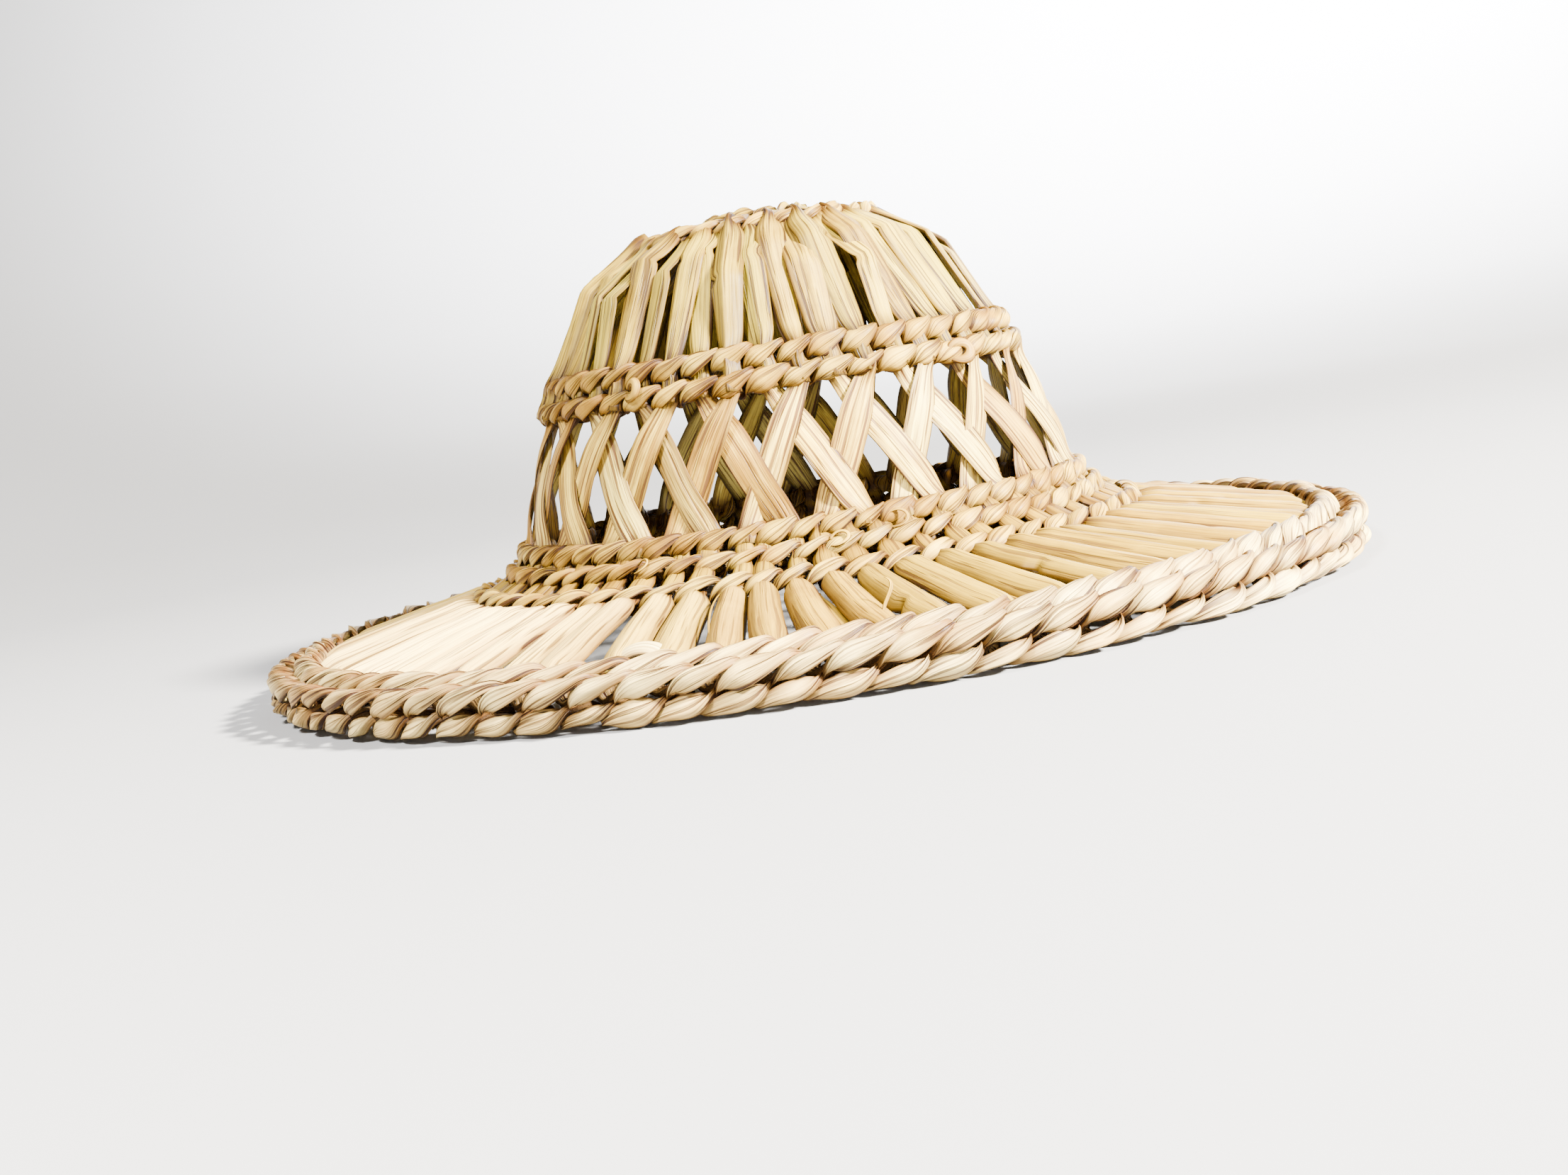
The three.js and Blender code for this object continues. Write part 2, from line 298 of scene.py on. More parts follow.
def vary(rng, at, count):
    """A smooth wave round a closed row: from -1 to 1 at each whole number, eased between them."""
    value = rng.uniform(-1, 1, count)
    low = np.floor(at).astype(int)
    share = ease(at - low)
    return value[low % count] * (1 - share) + value[(low + 1) % count] * share

RIB_WAVES = 5

def ribs(rng, x, share, tubes):
    """Ribs across a reed: a sum of cosines of the place across it, from -1 to 1, that drift along it."""
    shape = (tubes, 1, 1)
    total = 0
    for wave in range(RIB_WAVES):
        turns = rng.uniform(1.0 + 0.9 * wave, 1.8 + 1.0 * wave, shape)
        phase = rng.uniform(0, 2 * math.pi, shape)
        drift = rng.uniform(-1.2, 1.2, shape)
        total = total + np.cos(turns * math.pi * x + phase + drift * share) / (1 + 0.3 * wave)
    return total / 2.6

# Reeds

# How much painted shade a reed's edges get, as a share of the darkest painted shade.
RIM = 0.9
# The range of each kind's half-width before it is held or flares, in millimetres.
HALF_WIDTHS = {
    "crown": (5.4, 7.2), "openwork": (4.8, 6.1), "collar": (3.7, 5.1), "brim": (5.7, 6.9),
    "thin": (2.6, 4.2), "tip": (4.2, 5.2),
}
# How far a row's hold on each kind reaches along it, in millimetres.
HOLDS = {"crown": 5.2, "openwork": 4.6, "collar": 3.2, "brim": 5, "tip": 4.6}
# Each kind's section in millimetres: a size where it runs free, and what it gains where it is held.
# The brim's gains are by how puffed it is.
SECTIONS = {
    "crown": {"crest": (1.5, 0.2), "belly": (-0.7, 1.3), "edge": (0.8, 0.4), "rib": (0.14, 0.34)},
    "openwork": {"crest": (0.3, 0.9), "belly": (-0.1, 0.8), "edge": (0.6, 0.4), "rib": (0.14, 0.4)},
    "collar": {"crest": (2.1, -0.5), "belly": (1.2, 0), "edge": (0.8, 0), "rib": (0.12, 0.34)},
    "brim": {"crest": (1.2, 3), "belly": (0.6, 1.2), "edge": (1.1, -0.6)},
    "tip": {"crest": (0.8, 0.4), "belly": (0.2, 0.4), "edge": (0.9, 0), "rib": (0.12, 0.2)},
}

def section(kind, held):
    """The sizes of a kind's section: each free size plus its gain times how held it is."""
    return {key: (free + gain * held) * MM for key, (free, gain) in SECTIONS[kind].items()}

def reed_outline(outer, inner):
    """Places across a reed: from -1 to 1 over its outer face, closer by its edges, and back inside."""
    over = np.linspace(-1, 1, outer)
    over = over * (1.35 - 0.35 * over**2)
    under = np.linspace(1, -1, inner + 2)[1:-1]
    return np.concatenate([over, under]), np.concatenate([np.ones(outer), -np.ones(inner)])

def reeds(
    rng, centre, outward, half_width, crest, belly, edge, rib, tuck, columns,
    roundness=2.2, fold=0.0, ridge=None, nick=0.0, closed=False,
):
    """Flattened or puffed reeds along paths.

    Across a reed, x goes from -1 to 1. Both faces lie half the edge's thickness off its middle and rise
    from there by the crest, or fall by the belly, times (1 - |x| ** roundness) ** 0.7. A fold adds to
    the crest a roof of two slopes, whose ridge is off the middle. Ribs lift both faces alike. A nick
    cuts into the side at x above 0, or below 0 where it is below 0, by that share of the half-width.
    The painted shade, from 0 to 1, darkens the reed's colour where shade would fall, and it is raised
    at both edges by the rim's share times |x| ** 3, as painted shade along the sides. Where no ridge is
    given, each reed has its own, and its own share of the fold. Columns are how many points lie across
    the outer and the inner face.
    """
    tubes, length = centre.shape[:2]
    x, face = reed_outline(*columns)
    dome = (1 - np.abs(x) ** roundness) ** 0.7
    share = np.linspace(0, 1, length)[None, :, None]
    if ridge is None:
        ridge = rng.uniform(-0.45, 0.45, (tubes, 1))
        fold = fold * rng.uniform(0, 1, (tubes, 1))
    half_width, crest, belly, edge, rib, tuck, nick, fold, ridge = (
        np.broadcast_to(value, (tubes, length))[..., None]
        for value in (half_width, crest, belly, edge, rib, tuck, nick, fold, ridge)
    )
    roof = fold * (0.8 - np.abs(x - ridge))
    rise = np.where(face > 0, crest * (1 + roof), -belly) * dome
    grooves = ribs(rng, x, share, tubes) * (1 - 0.6 * np.abs(x) ** 6)
    upward = face * edge / 2 + rise + rib * grooves
    cut = np.where(x * nick > 0, np.abs(nick), 0)
    points = sweep(centre, outward, half_width * x * (1 - cut), upward, closed)
    steps_along = np.linalg.norm(np.diff(centre, axis=1), axis=-1)
    along = np.concatenate([np.zeros((tubes, 1)), np.cumsum(steps_along, 1)], 1)[..., None]
    middle = half_width.max(axis=1, keepdims=True) * 0.9
    start = rng.uniform(0, 5, (2, tubes, 1, 1))
    across = middle * x + start[1] + (face < 0) * 0.1
    fibre = np.stack(np.broadcast_arrays(along + start[0], across), -1)
    return {
        "points": points,
        "fibre": fibre,
        "closed": closed,
        "values": {
            "tone": rng.uniform(0, 1, (tubes, 1, 1)),
            "hue": rng.uniform(0, 1, (tubes, 1, 1)),
            # Painted shade, raised towards the reed's edges.
            "tuck": tuck + (1 - tuck) * RIM * np.abs(x) ** 3,
            "bleach": 0.0,
        },
    }

def gather(distance, rows, reach):
    """How tightly reeds are held at a distance: a bell curve about each row, the highest of them."""
    return np.max([bell((distance - ROW[row]) / reach) for row in rows], axis=0)

def tilt(outward, middle, roll):
    """The outward directions turned about the paths by roll, in radians."""
    along = unit(np.gradient(middle, axis=1))
    side = np.cross(outward, along)
    return unit(outward * np.cos(roll)[..., None] + side * np.sin(roll)[..., None])

def crown_reed_group():
    """Upright reeds from under the top row to under the band, straight but for a knee between them.

    Every other one lies in front, most at the top, where they overlap.
    """
    rng = np.random.default_rng(SEEDS["crown"])
    count, length = CROWN_REEDS, 48
    start, end = ROW["top_row"] - 3 * MM, ROW["band_lower_row"] + 3 * MM
    share = np.linspace(0, 1, length)[None]
    distance = start + (end - start) * share
    top, held = [(ROW[row] - start) / (end - start) for row in ("top_row", "band_upper_row")]
    reed = np.arange(count)[:, None]
    pitch = 2 * math.pi / count
    column = (count, 1)

    knee_at = rng.uniform(0.22, 0.48, column)
    top_lean = rng.uniform(-0.3, 0.3, column)
    knee_lean = np.clip(top_lean + rng.uniform(-0.5, 0.5, column), -0.36, 0.36)
    above = np.clip((share - top) / (knee_at - top), 0, 1)
    below = np.clip((share - knee_at) / (held - knee_at), 0, 1)
    lean = (top_lean + (knee_lean - top_lean) * above) * (1 - below)

    squeeze = gather(distance, ("top_row", "band_upper_row", "band_lower_row"), HOLDS["crown"] * MM)
    in_front = np.where(reed % 2 == 1, 1.0, -1.0) * (1 - ease(share / (held * 0.9)))
    lift = 1.0 * MM * in_front + rng.uniform(-0.3, 0.3, column) * MM
    widest = rng.uniform(*HALF_WIDTHS["crown"], column) * MM
    by_the_tip = 0.84 + 0.16 * ease(share / 0.2)
    by_the_band = 1 - 0.22 * ease((share - 0.35) / (held - 0.35))
    half_width = widest * by_the_tip * by_the_band * (1 - 0.34 * squeeze)
    nick = rng.choice([-0.3, -0.15, 0, 0.15, 0.3], column) * bell((share - knee_at) / 0.022)

    middle, outward, _ = wall_frame(wall_at(distance), pitch * (reed + lean), lift)
    knee_lift = lift[:, :1] * 0.6 + rng.uniform(0.6, 1.8, column) * MM
    corners = [
        wall_frame(wall_at(start + (end - start) * at), pitch * (reed + way), out)[0]
        for at, way, out in (
            (top, top_lean, lift[:, :1]), (knee_at, knee_lean, knee_lift), (held, 0, lift[:, -1:]),
        )
    ]
    straight = corners[0] + (corners[1] - corners[0]) * above[..., None]
    straight = straight + (corners[2] - corners[1]) * below[..., None]
    middle = np.where(((share > top) & (share < held))[..., None], straight, middle)
    roll = rng.uniform(-0.3, 0.3, column) + rng.uniform(-0.3, 0.3, column) * share
    outward = tilt(outward, middle, roll)
    return reeds(
        rng, middle, outward, half_width, **section("crown", squeeze),
        # Painted shade where the rows hold the reeds.
        tuck=squeeze, columns=(20, 5), roundness=5, fold=2.4, nick=nick,
    )

def openwork_group():
    """Flat strips that run two knots on as they go down, to the right from even knots, else to the left.

    Each is straight between the rows but for a slight bow out, and leans by a sine of its depth, so it
    passes behind one strip and in front of another.
    """
    rng = np.random.default_rng(SEEDS["openwork"])
    count, length = CROWN_REEDS, 40
    start, end = ROW["band_lower_row"] - 1 * MM, ROW["base_upper_row"] + 3 * MM
    share = np.linspace(0, 1, length)[None]
    distance = start + (end - start) * share
    free_from, free_to = ROW["band_lower_row"] + 1.5 * MM, ROW["base_upper_row"] - 1.5 * MM
    depth = np.clip((distance - free_from) / (free_to - free_from), 0, 1)
    knot = np.arange(count)[:, None]
    side = np.where(knot % 2 == 0, 1, -1)
    column = (count, 1)
    pitch = 2 * math.pi / count
    turn = pitch * (knot + 2 * side * depth)
    squeeze = gather(distance, ("band_lower_row", "base_upper_row"), HOLDS["openwork"] * MM)
    middle, outward, _ = wall_frame(wall_at(distance), turn, rng.uniform(-0.4, 0.4, column) * MM)
    high = wall_frame(wall_at(free_from), pitch * knot, 0)[0]
    low = wall_frame(wall_at(free_to), pitch * (knot + 2 * side), 0)[0]
    free = (depth * (1 - depth) > 0)[..., None]
    middle = np.where(free, high + (low - high) * depth[..., None], middle)
    bow, weave = 2.2, 1.0
    lift = bow * np.sin(math.pi * depth) - weave * side * np.sin(2 * math.pi * depth)
    middle = middle + outward * lift[..., None] * MM
    roll = rng.uniform(-0.2, 0.2, column) + rng.uniform(-0.5, 0.5, column) * (depth - 0.5)
    outward = tilt(outward, middle, roll)
    widest = rng.uniform(*HALF_WIDTHS["openwork"], column) * MM
    by_the_band = 0.5 + 0.5 * ease(0.2 + depth / 0.45)
    by_the_base = 1 - 0.12 * ease((depth - 0.8) / 0.2)
    half_width = widest * by_the_band * by_the_base
    return reeds(
        rng, middle, outward, half_width, **section("openwork", squeeze),
        # Painted shade where the rows hold the strips.
        tuck=squeeze, columns=(20, 6), roundness=6, fold=3.4,
    )

def collar_group():
    """Short stubs from under the upper base row, out past the lower one and under the brim's row."""
    rng = np.random.default_rng(SEEDS["collar"])
    count, length = BRIM_REEDS, 24
    start, end = ROW["base_upper_row"] - 2 * MM, ROW["brim_row"] + 2 * MM
    share = np.linspace(0, 1, length)[None]
    distance = start + (end - start) * share
    reed = np.arange(count)[:, None]
    column = (count, 1)
    squeeze = gather(distance, ("base_upper_row", "base_lower_row", "brim_row"), HOLDS["collar"] * MM)
    lean = rng.uniform(-0.15, 0.15, column)
    turn = crowded(2 * math.pi / count * (reed + lean))
    middle, outward, _ = wall_frame(wall_at(distance), turn, rng.uniform(-0.4, 0.4, column) * MM)
    widest = rng.uniform(*HALF_WIDTHS["collar"], column) * MM
    half_width = widest * (1 - 0.34 * squeeze) * (1 - 0.15 * slimness(turn))
    return reeds(
        rng, middle, outward, half_width, **section("collar", squeeze),
        # Painted shade all along the stubs, deepest where the rows hold them.
        tuck=0.3 + 0.7 * squeeze, columns=(13, 4),
    )

def brim_reed_turn(reed, share):
    """Where a brim reed is at a share of its way out: it leans on by a share of a step."""
    return 2 * math.pi / BRIM_REEDS * (reed + BRIM_LEAN * share)

def brim_groups():
    """Puffed reeds from the brim's row to the edge, and thin ones between them, from part way out."""
    rng = np.random.default_rng(SEEDS["brim"])
    count, length = BRIM_REEDS, 36
    column = (count, 1)
    start, end = ROW["brim_row"] - 2 * MM, ROW["edge_inner_row"] + 1 * MM
    share = np.linspace(0, 1, length)[None]
    distance = start + (end - start) * share
    reed = np.arange(count)[:, None]
    pinch = gather(distance, ("brim_row",), HOLDS["brim"] * MM)
    lean = rng.uniform(-0.1, 0.1, column) + rng.uniform(-0.12, 0.12, column) * share
    turn = crowded(brim_reed_turn(reed + lean, share))
    widest = (rng.uniform(*HALF_WIDTHS["brim"], column) - SLIMMER * slimness(turn)) * MM
    by_the_crown = 0.6 + 0.4 * ease(share / 0.2)
    flare = 0.96 + 0.34 * share
    by_the_edge = 1 - 0.4 * ease((share - 0.7) / 0.3)
    half_width = widest * by_the_crown * (1 - 0.25 * pinch) * flare * by_the_edge
    torn = rng.choice([-0.4, 0, 0, 0, 0, 0, 0.4], column)
    nick = torn * bell((share - rng.uniform(0.3, 0.8, column)) / 0.03)
    puff = ease(share / 0.18) * ease((1.05 - share) / 0.2)
    lift = 0.4 * puff + rng.uniform(-1.0, 1.0, column) * puff
    middle, outward, _ = wall_frame(wall_at(distance), turn, lift * MM)
    outward = tilt(outward, middle, rng.uniform(-0.2, 0.2, column) + 0 * share)
    whole = reeds(
        rng, middle, outward, half_width, **section("brim", puff),
        # Painted shade where the brim's row holds the reeds.
        rib=(0.1 + 0.5 * bell(share / 0.16)) * MM, tuck=pinch, columns=(20, 5), fold=0.4, nick=nick,
    )
    whole["values"]["tone"] = 0.4 + 0.6 * whole["values"]["tone"]
    # Painted light: the brim's reeds are made paler round one turn, as if lit more there.
    whole["values"]["bleach"] = painted_light_at(turn)[..., None]
    return [whole, thin_brim_group(rng)]

def thin_brim_group(rng):
    """Thin reeds that lie low between the brim's whole ones and show only from part way out."""
    length = 26
    column = (THIN_REEDS, 1)
    share = np.linspace(0, 1, length)[None]
    start = ROW["brim_row"] + rng.uniform(2, 24, column) * MM
    distance = start + (ROW["edge_inner_row"] + 1 * MM - start) * share
    between = np.sort(rng.choice(BRIM_REEDS, THIN_REEDS, replace=False))[:, None] + 0.5
    way_out = (distance - ROW["brim_row"]) / (ROW["edge_inner_row"] - ROW["brim_row"])
    turn = crowded(brim_reed_turn(between + rng.uniform(-0.1, 0.1, column), way_out))
    middle, outward, _ = wall_frame(wall_at(distance), turn, -1.0 * MM)
    half_width = rng.uniform(*HALF_WIDTHS["thin"], column) * MM * (0.25 + 0.75 * ease(share / 0.4))
    return reeds(
        rng, middle, outward, half_width,
        crest=1.7 * MM * (0.4 + 0.6 * ease(share / 0.3)), belly=0.8 * MM, edge=0.7 * MM,
        # Painted shade all along the thin reeds, which lie low between the whole ones.
        rib=0.2 * MM, tuck=0.5, columns=(11, 4), fold=0.6,
    )

def tip_group():
    """Reeds that run in from under the top row. Every other one ends under the small middle row."""
    rng = np.random.default_rng(SEEDS["tip"])
    count, length = TIP_REEDS, 24
    column = (count, 1)
    reed = np.arange(count)[:, None]
    share = np.linspace(0, 1, length)[None]
    inner = np.where(reed % 2 == 0, 2.5 * MM, TIP_ROW_AT - 2 * MM)
    distance = inner + (ROW["top_row"] + 3 * MM - inner) * share
    lift = np.where(reed % 2 == 0, 0.5, -0.4) * MM
    turn = 2 * math.pi / count * (reed + rng.uniform(-0.1, 0.1, column))
    middle, outward, _ = wall_frame(wall_at(distance), turn, lift)
    room = distance * math.pi / count
    half_width = np.clip(room * 1.25, 0.9 * MM, rng.uniform(*HALF_WIDTHS["tip"], column) * MM)
    squeeze = gather(distance, ("top_row",), HOLDS["tip"] * MM)
    half_width = half_width * (1 - 0.3 * squeeze)
    return reeds(
        # Painted shade where the top row holds the reeds.
        rng, middle, outward, half_width, **section("tip", squeeze), tuck=squeeze, columns=(13, 4),
    )

# Twined rows

# How fast a stitch narrows to its ends, and how far its tip lies over the next one's start.
TAPER = 1.3
OVER = 0.35
# How much painted shade a strand gets where it lies behind a reed, as a share of the darkest painted
# shade.
BEHIND = 0.85
# Steps from one stitch to the next, and points across a strand's outer and inner face.
STITCH_STEPS = 14
STRAND_COLUMNS = (13, 4)

def twined(
    seed, place, stitches, swell, pinch, plump, reach, climb, stride, skew, uneven, paleness,
    phase=0.0, turn_of=None,
):
    """A twined row: two strands that pass over a reed and behind the next by turns.

    At u stitches round, a strand's angle a is pi times u. It lies reach * (cos(a) * (1 + 0.3 * sin(a)
    ** 2) + over * sin(a)) out of the wall, climb * sin(a) up it, and stride * sin(a) stitches ahead, so
    that each stitch's tip lies over the next one's start. Its face rolls over quickly where the strands
    change places: it turns by a - 0.5 * sin(2 * a). Its half-width goes from pinch there to swell, by
    the cosine of an angle that skew shifts to one side. Uneven makes one strand wider than the other,
    and paleness lightens its tone. All of it drifts a little from stitch to stitch.
    """
    rng = np.random.default_rng(seed)

    def drift(amount, ahead=0.0):
        return amount * vary(rng, u + ahead, stitches)

    # The count begins on the far side, where the strands change places.
    u = (np.arange(stitches * STITCH_STEPS) / STITCH_STEPS + stitches // 4 + 0.5)[None]
    strand = np.arange(2)[:, None]
    angle = math.pi * (u + strand)
    sine, cosine = np.sin(angle), np.cos(angle)
    size = 1 + drift(0.17) + uneven * np.where(strand == 0, 1, -1)
    turn = 2 * math.pi / stitches * (u + phase + stride * sine * size + drift(0.06))
    if turn_of:
        turn = turn_of(turn)
    lift = reach * (cosine * (1 + 0.3 * sine**2) + OVER * sine) * (1 + drift(0.12))
    across = -climb * sine * (1 + drift(0.2)) + drift(0.1 * swell)
    middle, outward, down = wall_frame(place, turn, lift, across)
    roll = angle - 0.5 * np.sin(2 * angle) + drift(0.2)
    normal = unit(outward * np.cos(roll)[..., None] - down * np.sin(roll)[..., None])
    bulge = np.abs(np.cos(angle + skew * cosine**2)) ** TAPER
    group = reeds(
        rng, middle, normal, pinch + (swell * size - pinch) * bulge,
        crest=plump * (0.5 + 0.4 * bulge),
        belly=plump * 0.4,
        edge=plump * (0.4 - 0.25 * bulge),
        rib=(0.14 + 0.5 * (1 - bulge)) * MM,
        # Painted shade at each stitch's narrow ends, and where the strand lies behind a reed.
        tuck=np.maximum((1 - bulge) ** 0.75, BEHIND * ease(-2 * cosine)),
        columns=STRAND_COLUMNS, roundness=3, fold=1.6 + drift(0.7), ridge=drift(0.5), closed=True,
    )
    group["values"]["tone"] = (1 - paleness) * (0.5 + drift(0.5, ahead=0.5)[..., None])
    group["values"]["hue"] = 0.5 + drift(0.5, ahead=0.5)[..., None]
    return group

# Sizes of each twined row. The columns named in LENGTHS are in millimetres.
ROW_COLUMNS = (
    "stitches", "swell", "pinch", "plump", "reach", "climb", "stride", "skew", "uneven", "paleness",
)
ROW_SIZES = {
    "top_row": (TIP_REEDS, 3.4, 0.9, 1.3, 2.2, 1.7, 0.14, 0.1, 0.04, 0.2),
    "band_upper_row": (CROWN_REEDS, 4.2, 0.5, 1.5, 2.6, 2.1, 0.19, 0.45, 0.07, 0),
    "band_lower_row": (CROWN_REEDS, 3.9, 0.5, 1.5, 2.6, 1.9, 0.19, 0.4, 0.07, 0),
    "base_upper_row": (BASE_REEDS, 3.8, 0.5, 1.4, 2.6, 2.1, 0.22, 0.4, 0.15, 0),
    "base_lower_row": (BASE_REEDS, 3.3, 0.5, 1.3, 2.4, 1.9, 0.2, 0.35, 0.1, 0.1),
    "brim_row": (BRIM_REEDS, 3.2, 0.7, 1.2, 2.7, 2.4, 0.17, 0.1, 0.05, 0.6),
    "edge_inner_row": (EDGE_STITCHES, 4.2, 0.8, 1.6, 2.6, 3.0, 0.33, 0.3, 0.08, 0.4),
    "edge_upper_row": (EDGE_STITCHES, 3.6, 0.7, 1.7, 3.2, 2.1, 0.25, 0.4, 0.08, 0.2),
    "edge_lower_row": (EDGE_STITCHES, 3.5, 0.7, 1.7, 2.9, 1.9, 0.22, -0.3, 0.08, 0.2),
}
TIP_ROW_SIZES = (14, 2.6, 1.0, 1.1, 1.5, 1.1, 0.1, 0, 0, 0.2)
LENGTHS = ("swell", "pinch", "plump", "reach", "climb")
# The way that each edge row's outer side runs down, as its parts out and up, and how far its middle is
# moved from its node's, out and up, in millimetres.
EDGE_RUNS = {
    "edge_inner_row": (0.8, -0.6), "edge_upper_row": (0.45, -0.89), "edge_lower_row": (-0.3, -0.95),
}
EDGE_MOVES = {
    "edge_inner_row": (2.2, 2.6), "edge_upper_row": (1.6, -1.4), "edge_lower_row": (-0.8, -0.4),
}

def row_sizes(sizes):
    """A row's sizes by the names of their columns, with its lengths in metres."""
    return {key: value * MM if key in LENGTHS else value for key, value in zip(ROW_COLUMNS, sizes)}

def row_place(node):
    """Where a twined row's middle is: on the wall, or for the edge rows by their node and move."""
    if node not in EDGE_RUNS:
        return wall_at(ROW[node])
    half, narrowing, height = ring_place(node)
    out, up = np.array(EDGE_MOVES[node]) * MM
    return [half + out, narrowing, height + up, *unit(np.array(EDGE_RUNS[node]))]

# Loose ends

# Loose fibres, a strand's end among them: the node each hangs on, its half-width, and its places as turn
# in degrees, distance and lift. Lengths are in millimetres.
LOOSE_FIBRES = (
    ("brim_reeds", 0.7, ((-84.2, 239, 3), (-83.9, 235, 6), (-82.9, 232, 9.5), (-83.3, 229, 12))),
    ("brim_reeds", 0.4, ((-104.2, 192, 2), (-104.4, 205, 4.5), (-103.2, 226, 4), (-100.9, 246, 2))),
    ("edge_inner_row", 4.4, ((-111.8, 245, 0), (-110.4, 242, 4.4), (-107.8, 241, 4.6), (-105.8, 244, 0))),
)
# Loops of strand: the node, half-width, radius, and the middle's turn in degrees and distance.
LOOPS = (
    ("band_lower_row", 2.2, 3.3, -46.8, 115),
    ("band_lower_row", 1.9, 2.9, -126.4, 110),
    ("base_upper_row", 0.6, 3.6, -73.6, 169),
    ("base_lower_row", 0.7, 3.2, -85, 174),
    ("base_lower_row", 0.5, 3.0, -122, 174),
)

def loose_group(seed, half_width, places):
    """A tapering fibre through places given as turn, distance and lift, smoothed by a cubic."""
    rng = np.random.default_rng(seed)
    places = np.array(places)
    at = np.linspace(0, 1, len(places))
    share = np.linspace(0, 1, 20)
    cubic = np.polynomial.Polynomial.fit
    turn, distance, lift = [cubic(at, column, 3)(share)[None] for column in places.T]
    middle, outward, _ = wall_frame(wall_at(distance * MM), np.radians(turn), lift * MM)
    half_width = half_width * MM * (0.45 + 0.55 * np.sin(math.pi * share)[None])
    return reeds(
        rng, middle, outward, half_width,
        crest=half_width * 0.3, belly=half_width * 0.2, edge=half_width * 0.3, rib=0.08 * MM,
        # Painted shade at the fibre's first end.
        tuck=0.7 * bell(share / 0.15)[None], columns=(9, 4),
    )

def loop_group(seed, half_width, radius, turn, distance):
    """A strand that makes most of a circle in the wall's plane, with its ends going under."""
    rng = np.random.default_rng(seed)
    angle = np.radians(np.linspace(-150, 160, 28))[None]
    half_length = wall_at(distance * MM)[0]
    turns = math.radians(turn) + radius * MM * np.cos(angle) / half_length
    lift = (2.0 + 3.4 * np.cos(angle / 2)) * MM
    middle, outward, _ = wall_frame(wall_at((distance + radius * np.sin(angle)) * MM), turns, lift)
    half_width = half_width * MM * (0.8 + 0.2 * np.cos(angle))
    return reeds(
        rng, middle, outward, half_width,
        crest=half_width * 0.6, belly=half_width * 0.3, edge=half_width * 0.3, rib=0.12 * MM,
        # Painted shade towards the loop's ends, which go under.
        tuck=0.8 * (1 - np.cos(angle / 2)), columns=(9, 4),
    )

def loose_ends(node):
    """The loose fibres and loops that hang on a node."""
    tables = (loose_group, "fibres", LOOSE_FIBRES), (loop_group, "loops", LOOPS)
    return [
        make(SEEDS[kind] + i, *sizes)
        for make, kind, table in tables
        for i, (carrier, *sizes) in enumerate(table)
        if carrier == node
    ]

# Materials

def new_group(name, inputs, outputs):
    """A shader node group with the sockets named, each given as name and kind, and its two end nodes."""
    group = bpy.data.node_groups.new(name, "ShaderNodeTree")
    for in_out, sockets in (("INPUT", inputs), ("OUTPUT", outputs)):
        for socket, kind in sockets:
            group.interface.new_socket(name=socket, in_out=in_out, socket_type="NodeSocket" + kind)
    return group, group.nodes.new("NodeGroupInput"), group.nodes.new("NodeGroupOutput")

def feed(tree, node, values):
    """Sets each input to a value, or links it where the value is a socket."""
    for key, value in values.items():
        if isinstance(value, bpy.types.NodeSocket):
            tree.links.new(value, node.inputs[key])
        else:
            node.inputs[key].default_value = value

def math_node(tree, operation, *values):
    """The result of a sum on values and sockets."""
    node = tree.nodes.new("ShaderNodeMath")
    node.operation = operation
    feed(tree, node, dict(enumerate(values)))
    return node.outputs[0]

def stretched_noise(tree, vector, scale, detail=3.0):
    """Noise on a vector that is first scaled along each axis."""
    mapping = tree.nodes.new("ShaderNodeMapping")
    feed(tree, mapping, {"Vector": vector, "Scale": scale})
    noise = tree.nodes.new("ShaderNodeTexNoise")
    feed(tree, noise, {
        "Vector": mapping.outputs[0], "Scale": 1.0, "Detail": detail, "Roughness": 0.6,
    })
    return noise.outputs["Fac"]

def span(tree, value, low, high):
    """The value's way from low to high, as 0 to 1."""
    node = tree.nodes.new("ShaderNodeMapRange")
    feed(tree, node, {"Value": value, "From Min": low, "From Max": high})
    return node.outputs[0]

def mix(tree, factor, a, b, blend="MIX"):
    """Colour a blended with colour b by the factor."""
    node = tree.nodes.new("ShaderNodeMix")
    node.data_type = "RGBA"
    node.blend_type = blend
    feed(tree, node, {0: factor, 6: a, 7: b})
    return node.outputs[2]

# The pale colour that painted light draws a reed towards, as if lit more strongly.
PAINTED_LIGHT_COLOUR = (0.86, 0.62, 0.21, 1)
# What fine fibres multiply a reed's colour by, in the furrows and on top, and what the painted shade
# multiplies it by at its darkest.
FURROW = (0.24, 0.16, 0.07, 1)
CREST = (1.08, 1.06, 1.0, 1)
PAINTED_SHADE_COLOUR = (0.14, 0.065, 0.02, 1)
# Marks for each metre along a reed, across it, and off it.
FINE_MARKS = (36, 1500, 1)
STREAK_MARKS = (14, 420, 1)
SPLIT_MARKS = (24, 900, 1)
# Blotches for each metre any way.
BLOTCHES = (60, 60, 60)

